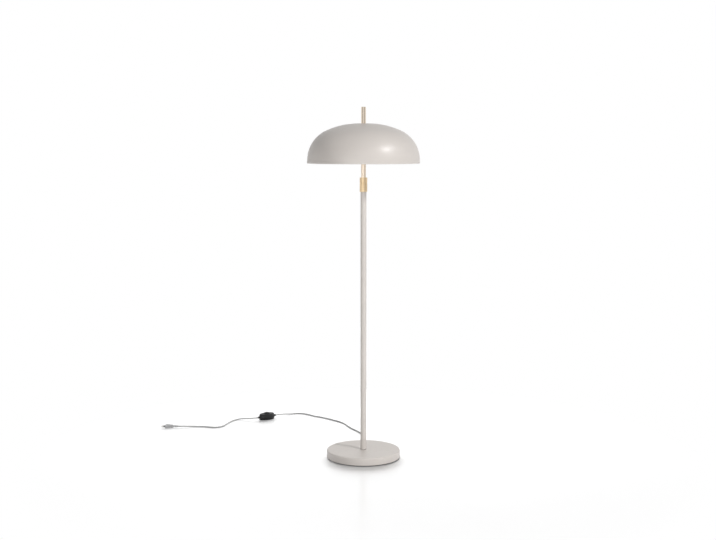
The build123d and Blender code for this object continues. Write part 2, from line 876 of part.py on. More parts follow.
def make_plug_pin(side):
    """Round pin with a rounded tip, on the left (1) or the right (-1) of the plug."""
    pin = rod(pin_diameter / 2, 0, pin_length)
    pin = fillet(pin.edges().group_by(Axis.Z)[-1], pin_diameter / 4)
    return in_plug_place(Pos(plug_front, side * pin_spacing / 2, plug_axis_height) * Rot(0, 90, 0) * pin)


def in_plug_place(solid):
    """A plug piece moved to the place where the plug lies."""
    return Pos(plug_tail_end[0], plug_tail_end[1], 0) * Rot(0, 0, plug_heading) * solid


# Assembly

nodes = {
    "base_cover": make_base_cover(),
    "base_weight": make_base_weight(),
    "floor_pad": make_floor_pad(),
    "foot_stud": make_foot_stud(),
    "foot_nut": make_foot_nut(),
    "foot_washer": make_foot_washer(),
    "foot_gasket": make_foot_gasket(),
    "foot_plug": make_foot_plug(),
    "pole_tube": make_pole_tube(),
    "lock_body": make_lock_body(),
    "lock_collet": make_lock_collet(),
    "lock_ring": make_lock_ring(),
    "guide_bush": make_guide_bush(),
    "stem_tube": make_stem_tube(),
    "stem_end_plug": make_stem_end_plug(),
    "bush_retaining_ring": make_bush_retaining_ring(),
    "stem_stop_ring": make_stem_stop_ring(),
    "stem_lead": make_stem_lead(),
    "shade_seat": make_shade_seat(),
    "shade_gasket": make_shade_gasket(),
    "top_nipple": make_top_nipple(),
    "shade": make_shade(),
    "finial_rod": make_finial_rod(),
    "hub_body": make_hub_body(),
    "hub_lid": make_hub_lid(),
    "cord_gland": make_cord_gland(),
    "cord_clamp": make_cord_clamp(),
    "base_lead": make_base_lead(),
    "cord_lamp_to_switch": make_cord("cord_lamp_to_switch", lamp_to_switch_points),
    "switch_lower_shell": make_switch_lower_shell(),
    "switch_upper_shell": make_switch_upper_shell(),
    "switch_mechanism": make_switch_mechanism(),
    "switch_button": make_switch_button(),
    "cord_switch_to_plug": make_cord("cord_switch_to_plug", switch_to_plug_points),
    "plug_body": make_plug_body(),
    "plug_pin_left": make_plug_pin(1),
    "plug_pin_right": make_plug_pin(-1),
}
for side_name, side in (("right", 1), ("left", -1)):
    nodes["holder_nipple_" + side_name] = laid_along_x(make_holder_nipple(), side)
    nodes["holder_body_" + side_name] = laid_along_x(make_holder_body(), side)
    nodes["holder_insert_" + side_name] = laid_along_x(make_holder_insert(), side)
    nodes["holder_shell_" + side_name] = laid_along_x(make_holder_shell(), side)
    nodes["holder_contact_" + side_name] = laid_along_x(make_holder_contact(), side)
    nodes["bulb_cap_" + side_name] = laid_along_x(make_bulb_cap(), side)
    nodes["bulb_globe_" + side_name] = laid_along_x(make_bulb_globe(), side)

os.makedirs("parts", exist_ok=True)
for node_name, solid in nodes.items():
    export_step(solid, "parts/" + node_name + ".step")
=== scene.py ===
# %% [markdown]
# # A floor lamp with a domed shade, dressed for a studio picture
# The lamp is already built as solids, in metres, with the floor at z = 0 and the pole on the Z axis.
# Those solids could be modelled again from nothing, but they already have the true sizes and joints.
# So they are loaded as a fixed frame, and this lesson adds what the eye looks for: the spun shade,
# the woven cord, small screws, finishes, light and the camera.

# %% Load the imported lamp
import math
import bmesh
import bpy
from mathutils import Matrix, Vector


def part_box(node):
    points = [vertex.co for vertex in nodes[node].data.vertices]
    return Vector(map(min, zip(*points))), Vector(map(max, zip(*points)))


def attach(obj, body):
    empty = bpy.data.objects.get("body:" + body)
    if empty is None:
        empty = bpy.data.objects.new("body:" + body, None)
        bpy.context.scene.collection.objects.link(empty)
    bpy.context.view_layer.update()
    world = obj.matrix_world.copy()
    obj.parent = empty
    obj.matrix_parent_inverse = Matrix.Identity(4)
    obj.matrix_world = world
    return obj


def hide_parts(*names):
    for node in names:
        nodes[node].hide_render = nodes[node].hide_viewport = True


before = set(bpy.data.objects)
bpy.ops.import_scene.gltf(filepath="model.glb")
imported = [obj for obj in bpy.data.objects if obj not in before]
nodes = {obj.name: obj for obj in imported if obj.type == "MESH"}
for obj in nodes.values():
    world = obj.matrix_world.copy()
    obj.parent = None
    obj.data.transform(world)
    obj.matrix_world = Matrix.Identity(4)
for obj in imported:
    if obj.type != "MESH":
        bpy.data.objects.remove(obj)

scene = bpy.context.scene
for spare in ("Cube", "Light", "Camera"):
    if spare in bpy.data.objects:
        bpy.data.objects.remove(bpy.data.objects[spare])
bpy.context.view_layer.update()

# %% [markdown]
# ## The camera
# The photograph was taken from about shade height, nearly five metres away, looking slightly down.
# A camera can be matched by eye, but the round base, the round rim and the upright pole fix it exactly:
# an ellipse's flatness gives the tilt, and the spacing of two ellipses gives the distance.
# No lens shift is needed, so the other views of the lamp stay true as well.

# %% Place the camera
CAMERA_PLACE = (-0.0232, -4.933, 1.3423)
CAMERA_TILT_DOWN = 6.129
SENSOR_MM, LENS_MM = 36, 58.68
bpy.ops.object.camera_add(location=CAMERA_PLACE, rotation=(math.radians(90 - CAMERA_TILT_DOWN), 0, 0))
camera = bpy.context.object
camera.name = "photo_camera"
camera.data.sensor_width = SENSOR_MM
camera.data.lens = LENS_MM
scene.camera = camera
print("camera lens", LENS_MM, "mm, tilted down", CAMERA_TILT_DOWN, "degrees")

# %% [markdown]
# ## The cord
# On the real lamp this is a grey woven-sleeve cord of 6 mm that leaves the back of the base, bends down
# to the floor and lies there in loose curves, first to the foot switch and then to the plug.
# A chain of straight tubes would look like bent wire. A NURBS line through loose control points bends
# everywhere a little, as a flexible cord does. It is laid first, as a bare line whose points are read
# back, and is then given its thickness, so that the weave can be measured in true metres along it.

# %% A helper that lays a cord
CORD_RADIUS = 0.003
CORD_CREASE = math.radians(40)


def start_fresh():
    """Leaves edit mode and deselects everything, because an operator acts on all that is selected."""
    if bpy.context.mode != "OBJECT":
        bpy.ops.object.mode_set(mode="OBJECT")
    bpy.ops.object.select_all(action="DESELECT")


def lay_cord(name, route_mm):
    """A round cord along a NURBS line; its UV map runs in metres along it and once around it."""
    start_fresh()
    curve = bpy.data.curves.new(name, "CURVE")
    curve.dimensions = "3D"
    line = curve.splines.new("NURBS")
    line.points.add(len(route_mm) - 1)
    for point, (x, y, z) in zip(line.points, route_mm):
        point.co = (x / 1000, y / 1000, z / 1000, 1)
    line.order_u = 3
    line.use_endpoint_u = True
    line.resolution_u = 14
    piece = bpy.data.objects.new(name, curve)
    scene.collection.objects.link(piece)
    bare = bpy.data.meshes.new_from_object(piece)
    path = [vertex.co.copy() for vertex in bare.vertices]
    along = [0.0]
    for before, after in zip(path, path[1:]):
        along.append(along[-1] + (after - before).length)
    curve.bevel_depth = CORD_RADIUS
    curve.bevel_resolution = 5
    curve.use_fill_caps = True
    piece.select_set(True)
    bpy.context.view_layer.objects.active = piece
    bpy.ops.object.convert(target="MESH")
    piece = bpy.context.object
    last = len(path) - 1
    for corner in piece.data.uv_layers.active.data:
        corner.uv.x = along[min(last, round(corner.uv.x * last))]
    bpy.ops.object.shade_smooth_by_angle(angle=CORD_CREASE)
    print(name, "is", round(along[-1], 3), "m long with", len(piece.data.polygons), "faces")
    return piece, path, along[-1]


print("cord helper ready, for a cord of", round(2000 * CORD_RADIUS, 1), "mm")

# %% Lay the two lengths of cord
lamp_cord, lamp_path, lamp_cord_length = lay_cord("cord_to_switch", [
    (0, 185.6, 23.5), (0, 215.6, 23.5), (-1, 264, 13), (-2, 310, 4.5), (-4, 354, 3), (-9, 402, 3),
    (-32, 456, 3), (-60, 508, 3), (-78, 562, 3), (-97, 612, 3), (-140, 663, 3), (-190, 715, 3),
    (-243, 752, 3), (-284, 798, 3), (-325, 813, 3), (-366, 792, 3), (-402.372, 749.754, 13),
    (-431.861, 729.105, 13),
])
plug_cord, plug_path, plug_cord_length = lay_cord("cord_to_plug", [
    (-512.139, 672.895, 13), (-541.628, 652.246, 13), (-606, 696, 3), (-639, 642, 3), (-656, 585, 3),
    (-668, 536, 3), (-702, 511, 3), (-757, 533, 3), (-814, 535, 3), (-846, 522, 6.85), (-880, 522, 6.85),
])

# %% Tie the cords to the lamp
for cord, node in ((lamp_cord, "cord_lamp_to_switch"), (plug_cord, "cord_switch_to_plug")):
    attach(cord, "stand")
    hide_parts(node)
print("cord on the floor:", round(lamp_cord_length + plug_cord_length, 3), "m in two lengths")

# %% [markdown]
# ## The shade
# The real shade is one disc of sheet metal spun over a former: a small flat where the stem clamps it,
# a wide crown arc, a tighter shoulder arc, a short straight skirt and a hem folded outwards.
# A sphere squashed to size would get the shoulder wrong. Spinning a half outline about the axis in
# Blender is the same work as on the spinning lathe, so the outline is drawn once, with the wall's inside,
# and turned. The inside then takes its own white enamel, which a single-skin dome couldn't show.

# %% Half outline of the shade
shade_low, shade_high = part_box("shade")
RIM, TOP = shade_low.z, shade_high.z
WALL, HEM_FOLD, HEM_HEIGHT, SKIRT = 0.001, 0.0008, 0.010, 0.0135
FLAT_RADIUS, CROWN_RADIUS, HOLE_RADIUS = 0.022, 0.323, 0.0051
SHADE_RADIUS = shade_high.x - HEM_FOLD


def arc_points(centre, radius, start, end, steps):
    """Points of an arc in the half plane, from one angle to another, in degrees."""
    angles = [math.radians(start + (end - start) * i / steps) for i in range(steps + 1)]
    return [(centre[0] + radius * math.cos(a), centre[1] + radius * math.sin(a)) for a in angles]


span = SHADE_RADIUS - FLAT_RADIUS
drop = TOP - RIM - SKIRT
SHOULDER_RADIUS = (2 * CROWN_RADIUS * drop - drop**2 - span**2) / (2 * (CROWN_RADIUS - span))
meeting = 90 - math.degrees(math.atan2(span - SHOULDER_RADIUS, CROWN_RADIUS - drop))
crown_centre = (FLAT_RADIUS, TOP - CROWN_RADIUS)
shoulder_centre = (SHADE_RADIUS - SHOULDER_RADIUS, RIM + SKIRT)
lip = (WALL + HEM_FOLD) / 2
inner_radius = SHADE_RADIUS - WALL
shade_outline = [(HOLE_RADIUS, TOP)]
shade_outline += arc_points(crown_centre, CROWN_RADIUS, 90, meeting, 14)
shade_outline += arc_points(shoulder_centre, SHOULDER_RADIUS, meeting, 0, 28)[1:]
shade_outline += arc_points((SHADE_RADIUS, RIM + HEM_HEIGHT - HEM_FOLD), HEM_FOLD, 90, 0, 4)
shade_outline += arc_points((inner_radius + lip, RIM + lip), lip, 0, -180, 8)
shade_outline += arc_points(shoulder_centre, SHOULDER_RADIUS - WALL, 0, meeting, 28)
shade_outline += arc_points(crown_centre, CROWN_RADIUS - WALL, meeting, 90, 14)[1:]
shade_outline += [(HOLE_RADIUS, TOP - WALL), (HOLE_RADIUS, TOP)]
print("shade outline has", len(shade_outline), "points; shoulder radius", round(SHOULDER_RADIUS, 4), "m")

# %% [markdown]
# ## A lathe made of three operators
# Round pieces of the real lamp are spun or turned, so one helper works like a lathe. The faces could be
# counted out in code, but operators do it as by hand: a plane is cut down to one corner, that corner is
# extruded along the outline, and spin turns the line about Z. Doubles are merged where the turn closes,
# and only then are the normals made to point outwards.

# %% The lathe
CREASE = math.radians(35)
SHADE_STEPS = 240


def lathe(name, outline, steps):
    """Closed piece turned about Z; its (radius, height) points end where they began, or on the axis."""
    start_fresh()
    bpy.ops.mesh.primitive_plane_add(size=0.02)
    piece = bpy.context.object
    piece.name = piece.data.name = name
    bpy.ops.object.mode_set(mode="EDIT")
    shape = bmesh.from_edit_mesh(piece.data)
    shape.verts.ensure_lookup_table()
    kept = shape.verts[0].co.copy()
    bpy.ops.mesh.select_all(action="DESELECT")
    for vertex in list(shape.verts)[1:]:
        vertex.select = True
    bpy.ops.mesh.delete(type="VERT")
    bpy.ops.mesh.select_all(action="SELECT")
    bpy.ops.transform.translate(value=Vector((outline[0][0], 0, outline[0][1])) - kept)
    for before, after in zip(outline, outline[1:]):
        step = (after[0] - before[0], 0, after[1] - before[1])
        bpy.ops.mesh.extrude_vertices_move(TRANSFORM_OT_translate={"value": step})
    bpy.ops.mesh.select_all(action="SELECT")
    bpy.ops.mesh.spin(steps=steps, angle=2 * math.pi, center=(0, 0, 0), axis=(0, 0, 1))
    bpy.ops.mesh.select_all(action="SELECT")
    bpy.ops.mesh.remove_doubles(threshold=0.00002)
    bpy.ops.mesh.normals_make_consistent(inside=False)
    bpy.ops.object.mode_set(mode="OBJECT")
    bpy.ops.object.shade_smooth_by_angle(angle=CREASE)
    print(name, "turned:", len(piece.data.polygons), "faces")
    return piece


shade_dome = lathe("shade_dome", shade_outline, SHADE_STEPS)
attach(shade_dome, "stem")
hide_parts("shade")

# %% [markdown]
# ## A starting point for every finish
# Every surface gets a finish of its own, made of noise and arithmetic on Object coordinates, because
# those stay put on the piece when it moves. A few small helpers keep each finish short to read.

# %% Helpers for finishes


class Finish:
    """A material with a principled shader and short ways to add texture to it."""

    def __init__(self, name, metallic=0.0, specular=0.5):
        self.material = bpy.data.materials.new(name)
        self.material.use_nodes = True
        self.tree = self.material.node_tree
        self.shader = self.tree.nodes["Principled BSDF"]
        self.set("Metallic", metallic)
        self.set("Specular IOR Level", specular)
        self.place = self.node("ShaderNodeTexCoord").outputs["Object"]

    def node(self, kind, **settings):
        """A new node with some of its settings."""
        made = self.tree.nodes.new(kind)
        for key, value in settings.items():
            setattr(made, key, value)
        return made

    def set(self, socket, value):
        """One value all over the surface."""
        self.shader.inputs[socket].default_value = value

    def link(self, output, target):
        """A wire to a socket, or to the shader's socket of that name."""
        self.tree.links.new(output, self.shader.inputs[target] if isinstance(target, str) else target)

    def math(self, operation, first, second=None):
        """One step of arithmetic on numbers or sockets."""
        made = self.node("ShaderNodeMath", operation=operation)
        for socket, value in zip(made.inputs, (first, second)):
            if isinstance(value, (int, float)):
                socket.default_value = value
            elif value is not None:
                self.link(value, socket)
        return made.outputs[0]

    def stretched(self, scale):
        """The place on the piece, squeezed by another amount along each axis."""
        made = self.node("ShaderNodeMapping")
        made.inputs["Scale"].default_value = scale
        self.link(self.place, made.inputs["Vector"])
        return made.outputs[0]

    def noise(self, scale, detail=2.0, place=None):
        """Soft random spots."""
        made = self.node("ShaderNodeTexNoise")
        made.inputs["Scale"].default_value = scale
        made.inputs["Detail"].default_value = detail
        self.link(place or self.place, made.inputs["Vector"])
        return made.outputs["Fac"]

    def spread(self, value, low, high, source_low=0.3, source_high=0.7):
        """A value moved from one range to another."""
        made = self.node("ShaderNodeMapRange")
        for socket, number in zip(list(made.inputs)[1:5], (source_low, source_high, low, high)):
            socket.default_value = number
        self.link(value, made.inputs["Value"])
        return made.outputs["Result"]

    def colours(self, value, dark, light, start=0.3, end=0.7):
        """Base colour that runs from dark to light with a value."""
        made = self.node("ShaderNodeValToRGB")
        for stop, position, colour in zip(made.color_ramp.elements, (start, end), (dark, light)):
            stop.position = position
            stop.color = (*colour, 1)
        self.link(value, made.inputs["Fac"])
        self.link(made.outputs["Color"], "Base Color")

    def bump(self, height, depth, strength=1.0):
        """Fine relief, as deep in metres as is said."""
        made = self.node("ShaderNodeBump")
        made.inputs["Strength"].default_value = strength
        made.inputs["Distance"].default_value = depth
        self.link(height, made.inputs["Height"])
        self.link(made.outputs["Normal"], "Normal")


def wear(finish, *names):
    """Gives a finish to solids of the frame, by their own material slots."""
    for name in names:
        for place in nodes[name].material_slots:
            place.material = finish.material


print("finish helpers ready")

# %% [markdown]
# ## Greige satin paint
# The shade, the pole and the base share one warm grey powder coat. Up close it has a fine orange-peel
# skin, and its tone drifts very slightly over a large surface. A flat colour would look like card;
# here a fine noise lifts the skin by hundredths of a millimetre and a broad one moves the tone.

# %% Paint outside and inside


def satin_paint(name, dark, light, gloss):
    """Powder coat with an orange-peel skin."""
    paint = Finish(name)
    paint.colours(paint.noise(5.0, 3.0), dark, light)
    paint.link(paint.spread(paint.noise(60.0), gloss - 0.03, gloss + 0.04), "Roughness")
    paint.bump(paint.noise(750.0, 1.0), 0.00003, 0.25)
    return paint


greige = satin_paint("greige_satin_paint", (0.535, 0.498, 0.468), (0.565, 0.526, 0.494), 0.37)
inside_white = satin_paint("shade_white_enamel", (0.80, 0.79, 0.765), (0.84, 0.83, 0.805), 0.38)
wear(greige, "base_cover", "pole_tube")
shade_dome.data.materials.append(greige.material)
shade_dome.data.materials.append(inside_white.material)
under_dome = Vector((0, 0, RIM + 0.05))
white_faces = 0
for face in shade_dome.data.polygons:
    if face.normal.dot(face.center - under_dome) < 0:
        face.material_index = 1
        white_faces += 1
print("white faces inside the shade:", white_faces)

# %% [markdown]
# ## Brass
# The rod above the shade is polished, so it mirrors the room in sharp upright stripes. The stem is the
# same pale metal with a satin rub, and the two halves of the twist lock are a warmer satin brass.
# One material could serve all three, but the gloss is what tells them apart. Turned rods carry very fine
# rings, so the noise is squeezed along Z until it becomes rings, and these break up the gloss.

# %% Turned brass


def turned_brass(name, dark, light, gloss, ring_depth):
    """Brass with fine rings round the Z axis."""
    brass = Finish(name, metallic=1.0)
    rings = brass.noise(1.0, 3.0, brass.stretched((25, 25, 2600)))
    brass.colours(brass.noise(1.0, 2.0, brass.stretched((30, 30, 220))), dark, light)
    brass.link(brass.spread(rings, gloss - 0.04, gloss + 0.05), "Roughness")
    brass.bump(rings, ring_depth, 0.2)
    return brass


POLISHED_RINGS, SATIN_RINGS = 0.000001, 0.000003
polished_brass = turned_brass(
    "polished_pale_brass", (0.83, 0.715, 0.585), (0.88, 0.755, 0.62), 0.07, POLISHED_RINGS)
satin_brass = turned_brass(
    "satin_pale_brass", (0.93, 0.80, 0.665), (0.96, 0.83, 0.69), 0.5, SATIN_RINGS)
warm_brass = turned_brass(
    "satin_warm_brass", (0.86, 0.68, 0.445), (0.90, 0.715, 0.475), 0.56, SATIN_RINGS)
wear(polished_brass, "finial_rod")
wear(satin_brass, "stem_tube")
wear(warm_brass, "lock_body", "lock_ring")
print("brass on the stem, the rod above the shade and both halves of the lock")

# %% [markdown]
# ## Woven sleeve of the cord
# The cord has a plaited textile sleeve: strands run round it both ways and pass over and under each
# other. Real strands would need a million faces. The UV map knows the way along and around the cord,
# so the plait is worked out from two slanting counts of strands; the gaps are made lower, and painted
# darker as shade.

# %% The plait
STRANDS_AROUND = 14
STRANDS_PER_METRE = 620.0


def woven_sleeve():
    """Grey textile plaited of strands that run round the cord both ways."""
    sleeve = Finish("grey_woven_sleeve", specular=0.2)
    along_and_around = sleeve.node("ShaderNodeSeparateXYZ")
    sleeve.link(sleeve.node("ShaderNodeTexCoord").outputs["UV"], along_and_around.inputs[0])
    length_count = sleeve.math("MULTIPLY", along_and_around.outputs["X"], STRANDS_PER_METRE)
    turn_count = sleeve.math("MULTIPLY", along_and_around.outputs["Y"], STRANDS_AROUND)
    one_way = sleeve.math("ADD", length_count, turn_count)
    other_way = sleeve.math("SUBTRACT", length_count, turn_count)
    cells = sleeve.math("ADD", sleeve.math("FLOOR", one_way), sleeve.math("FLOOR", other_way))
    over = sleeve.math("FLOORED_MODULO", cells, 2.0)
    ridge_one = sleeve.math("SINE", sleeve.math("MULTIPLY", sleeve.math("FRACT", one_way), math.pi))
    ridge_other = sleeve.math("SINE", sleeve.math("MULTIPLY", sleeve.math("FRACT", other_way), math.pi))
    upper = sleeve.math("MULTIPLY", ridge_one, over)
    lower = sleeve.math("MULTIPLY", ridge_other, sleeve.math("SUBTRACT", 1.0, over))
    strand = sleeve.math("ADD", upper, lower)
    # The colour follows the strand ridges, so the gaps between strands are painted shade, with a random
    # tone on top.
    strand_tone_and_gap_shade = sleeve.math("ADD", strand, sleeve.math("MULTIPLY", sleeve.noise(900.0, 3.0), 0.5))
    sleeve.colours(strand_tone_and_gap_shade, (0.26, 0.26, 0.26), (0.50, 0.50, 0.495), 0.2, 1.0)
    sleeve.set("Roughness", 0.85)
    sleeve.set("Sheen Weight", 0.25)
    sleeve.set("Sheen Roughness", 0.5)
    sleeve.bump(strand, 0.0005, 0.8)
    return sleeve


sleeve = woven_sleeve()
for cord in (lamp_cord, plug_cord):
    cord.data.materials.clear()
    cord.data.materials.append(sleeve.material)
print("woven sleeve:", STRANDS_AROUND, "strands each way")

# %% [markdown]
# ## Moulded plastics
# The foot switch is black plastic with a fine spark-eroded grain, so it doesn't shine like polish.
# The strain relief and the plug are a softer grey plastic that matches the cord, and the lampholders
# are smooth and nearly white. They differ in colour, gloss and grain, so one helper makes them all.

# %% Plastics


def moulded(name, dark, light, gloss, grain_scale, grain_depth, specular=0.5):
    """Moulded plastic with a fine grain."""
    plastic = Finish(name, specular=specular)
    plastic.colours(plastic.noise(45.0, 2.0), dark, light)
    plastic.link(plastic.spread(plastic.noise(180.0), gloss - 0.05, gloss + 0.06), "Roughness")
    plastic.bump(plastic.noise(grain_scale, 2.0), grain_depth, 0.6)
    return plastic


BLACK, WORN_BLACK = (0.011, 0.011, 0.012), (0.018, 0.018, 0.019)
black_plastic = moulded("switch_black_plastic", BLACK, WORN_BLACK, 0.42, 2600.0, 0.00008, 0.35)
grey_plastic = moulded(
    "grey_soft_plastic", (0.34, 0.34, 0.342), (0.40, 0.40, 0.402), 0.48, 1800.0, 0.00005)
holder_plastic = moulded(
    "holder_white_plastic", (0.80, 0.79, 0.765), (0.84, 0.83, 0.80), 0.36, 900.0, 0.00003)
nylon = moulded("natural_nylon", (0.70, 0.69, 0.65), (0.76, 0.75, 0.71), 0.45, 1200.0, 0.00004)
lead_plastic = moulded("lead_sheath", (0.62, 0.62, 0.61), (0.68, 0.68, 0.67), 0.5, 1500.0, 0.00003)
contact_plastic = moulded("contact_block", (0.50, 0.49, 0.45), (0.56, 0.55, 0.50), 0.5, 900.0, 0.00004)
wear(black_plastic, "switch_lower_shell", "switch_upper_shell")
wear(grey_plastic, "cord_gland", "plug_body")
wear(holder_plastic, "holder_body_right", "holder_body_left")
wear(nylon, "lock_collet", "guide_bush", "stem_end_plug", "cord_clamp")
wear(lead_plastic, "base_lead", "stem_lead")
wear(contact_plastic, "switch_mechanism")
print("six plastics made")

# %% [markdown]
# ## Grip rings on the foot button
# A foot would slip on a smooth button, so its top carries round ridges. A bump in the finish would show
# them in a picture, but not in the mesh, so they are turned on the lathe: a thin disc is drawn from the
# middle of its underside to its edge, and back to the middle over five ridges. It is then set into the
# button's flat top and goes down with it.

# %% Button
RING_COUNT, RING_PITCH, RING_RADIUS = 5, 0.0024, 0.0006
GRIP_RADIUS, GRIP_SUNK, GRIP_PROUD, GRIP_STEPS = 0.0128, 0.0003, 0.0001, 72
button_low, button_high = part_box("switch_button")
button_plastic = moulded("button_black_plastic", BLACK, WORN_BLACK, 0.45, 2600.0, 0.00008, 0.35)
grip_outline = [(0, -GRIP_SUNK), (GRIP_RADIUS, -GRIP_SUNK), (GRIP_RADIUS, GRIP_PROUD)]
for ring in range(RING_COUNT, 0, -1):
    grip_outline += arc_points((ring * RING_PITCH, GRIP_PROUD), RING_RADIUS, 0, 180, 6)
grip_outline.append((0, GRIP_PROUD))
button_grip = lathe("button_grip", grip_outline, GRIP_STEPS)
button_middle = ((button_low.x + button_high.x) / 2, (button_low.y + button_high.y) / 2, button_high.z)
button_grip.data.transform(Matrix.Translation(button_middle))
button_grip.data.materials.append(button_plastic.material)
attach(button_grip, "switch_button")
wear(button_plastic, "switch_button")
print("button grip:", RING_COUNT, "rings every", RING_PITCH * 1000, "mm")

# %% [markdown]
# ## What the cords carry
# On the real lamp the switch sits between two lengths of cord, and the second length ends in a plug.

# %% [markdown]
# ## Rubber, foam and metal that are hardly seen
# Under the base lie a foam pad and a cast weight, and inside it a zinced stud, nut and washer.
# They could stay plain grey, but they show when the lamp is tipped over or taken apart, so each gets the
# finish of its own material: open pores on the foam, a sand-cast skin on the iron, dull spots on the zinc.

# %% Foam, rubber, iron and steel
foam = Finish("black_foam", specular=0.15)
foam.colours(foam.noise(400.0, 3.0), (0.012, 0.012, 0.012), (0.03, 0.03, 0.03))
foam.set("Roughness", 0.95)
foam.bump(foam.noise(1400.0, 3.0), 0.0003, 0.8)
rubber = moulded("grey_rubber", (0.19, 0.175, 0.16), (0.23, 0.21, 0.19), 0.7, 1500.0, 0.00006)
iron = Finish("cast_iron", metallic=0.6)
iron.colours(iron.noise(90.0, 4.0), (0.04, 0.04, 0.042), (0.09, 0.09, 0.092))
iron.link(iron.spread(iron.noise(220.0), 0.5, 0.75), "Roughness")
iron.bump(iron.noise(350.0, 4.0), 0.0004, 0.8)
zinc = Finish("zinced_steel", metallic=1.0)
zinc.colours(zinc.noise(130.0, 3.0), (0.50, 0.50, 0.52), (0.62, 0.62, 0.62))
zinc.link(zinc.spread(zinc.noise(260.0, 3.0), 0.26, 0.42), "Roughness")
zinc.bump(zinc.noise(900.0, 2.0), 0.00003, 0.4)
wear(foam, "floor_pad")
wear(rubber, "foot_gasket", "shade_gasket")
wear(iron, "base_weight")
wear(zinc, "foot_stud", "foot_nut", "foot_washer", "foot_plug", "bush_retaining_ring", "stem_stop_ring",
     "shade_seat", "top_nipple", "holder_nipple_right", "holder_nipple_left")
print("foam, rubber, iron and steel made")

# %% [markdown]
# ## Under the shade
# Two opal bulbs stand opposite each other in plain holders on a white hub. Opal glass is white all
# through with a skin of clear gloss, so it is a pale colour with a little light let into it and low
# roughness, and not clear glass. The caps are bright aluminium, and the screw shells thin brass.

# %% Hub, holders and bulbs
opal = Finish("opal_glass")
opal.colours(opal.noise(20.0, 2.0), (0.86, 0.85, 0.82), (0.90, 0.89, 0.86))
opal.link(opal.spread(opal.noise(80.0), 0.10, 0.16), "Roughness")
opal.set("Subsurface Weight", 0.25)
opal.set("Subsurface Radius", (0.004, 0.004, 0.004))
ceramic = moulded("white_ceramic", (0.74, 0.72, 0.67), (0.80, 0.78, 0.73), 0.55, 700.0, 0.00008)
shell_brass = Finish("shell_brass", metallic=1.0)
shell_brass.colours(shell_brass.noise(150.0, 2.0), (0.74, 0.56, 0.29), (0.80, 0.62, 0.34))
shell_brass.link(shell_brass.spread(shell_brass.noise(400.0), 0.18, 0.30), "Roughness")
aluminium = Finish("cap_aluminium", metallic=1.0)
aluminium.colours(aluminium.noise(200.0, 2.0), (0.66, 0.66, 0.67), (0.74, 0.74, 0.75))
aluminium.link(aluminium.spread(aluminium.noise(500.0), 0.2, 0.34), "Roughness")
wear(inside_white, "hub_body", "hub_lid")
for side in ("right", "left"):
    wear(opal, "bulb_globe_" + side)
    wear(aluminium, "bulb_cap_" + side)
    wear(ceramic, "holder_insert_" + side)
    wear(shell_brass, "holder_shell_" + side)
    wear(warm_brass, "holder_contact_" + side)
print("hub, holders and bulbs finished")

# %% [markdown]
# ## Rolled threads
# A bulb's cap and the shell that it screws into are thin sheet with a round thread rolled into them.
# A helix of faces would be heavy for something that hides while the bulb is in. The way along X and the
# angle round X, added together, rise by one turn for each pitch, so their sine is the thread's relief.

# %% Thread
THREAD_PITCH, THREAD_DEPTH = 0.0036, 0.0005
contact_low, contact_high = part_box("holder_contact_right")
BULB_AXIS = (contact_low.z + contact_high.z) / 2
for metal in (shell_brass, aluminium):
    apart = metal.node("ShaderNodeSeparateXYZ")
    metal.link(metal.place, apart.inputs[0])
    above_axis = metal.math("SUBTRACT", apart.outputs["Z"], BULB_AXIS)
    angle = metal.math("ARCTAN2", above_axis, apart.outputs["Y"])
    advance = metal.math("MULTIPLY", apart.outputs["X"], 2 * math.pi / THREAD_PITCH)
    metal.bump(metal.math("SINE", metal.math("ADD", advance, angle)), THREAD_DEPTH)
print("thread of", THREAD_PITCH * 1000, "mm pitch about z =", round(BULB_AXIS, 3))

# %% [markdown]
# ## Screws of the hub
# Two small screws hold the hub's lid, and one at the back clamps the hub to the stem. They are alike, so
# one is modelled: a cylinder, its top edge rounded with a bevel, and a slot cut by a thin block. The slot
# could be pushed in by hand, but a boolean cuts it in one step. Copies carry their place in their mesh.

# %% One slotted screw
HEAD_RADIUS, HEAD_HEIGHT, HEAD_ROUND, SLOT_WIDTH = 0.0022, 0.0014, 0.0007, 0.0006
start_fresh()
bpy.ops.mesh.primitive_cylinder_add(
    vertices=32, radius=HEAD_RADIUS, depth=HEAD_HEIGHT, location=(0, 0, HEAD_HEIGHT / 2))
screw = bpy.context.object
screw.name = screw.data.name = "hub_screw_clamp"
bpy.ops.object.transform_apply(location=True, rotation=True, scale=True)
bpy.ops.object.mode_set(mode="EDIT")
bpy.ops.mesh.select_all(action="DESELECT")
for face in bmesh.from_edit_mesh(screw.data).faces:
    face.select = face.normal.z > 0.9
bpy.ops.mesh.bevel(offset=HEAD_ROUND, segments=4)
start_fresh()
bpy.ops.mesh.primitive_cube_add(
    size=1, location=(0, 0, HEAD_HEIGHT), scale=(SLOT_WIDTH, 3 * HEAD_RADIUS, HEAD_HEIGHT))
slot_block = bpy.context.object
start_fresh()
screw.select_set(True)
bpy.context.view_layer.objects.active = screw
slot = screw.modifiers.new("slot", "BOOLEAN")
slot.operation, slot.object = "DIFFERENCE", slot_block
bpy.ops.object.modifier_apply(modifier="slot")
bpy.data.objects.remove(slot_block)
bpy.ops.object.shade_smooth_by_angle(angle=CREASE)
screw.data.materials.append(zinc.material)
print("screw head:", len(screw.data.polygons), "faces")

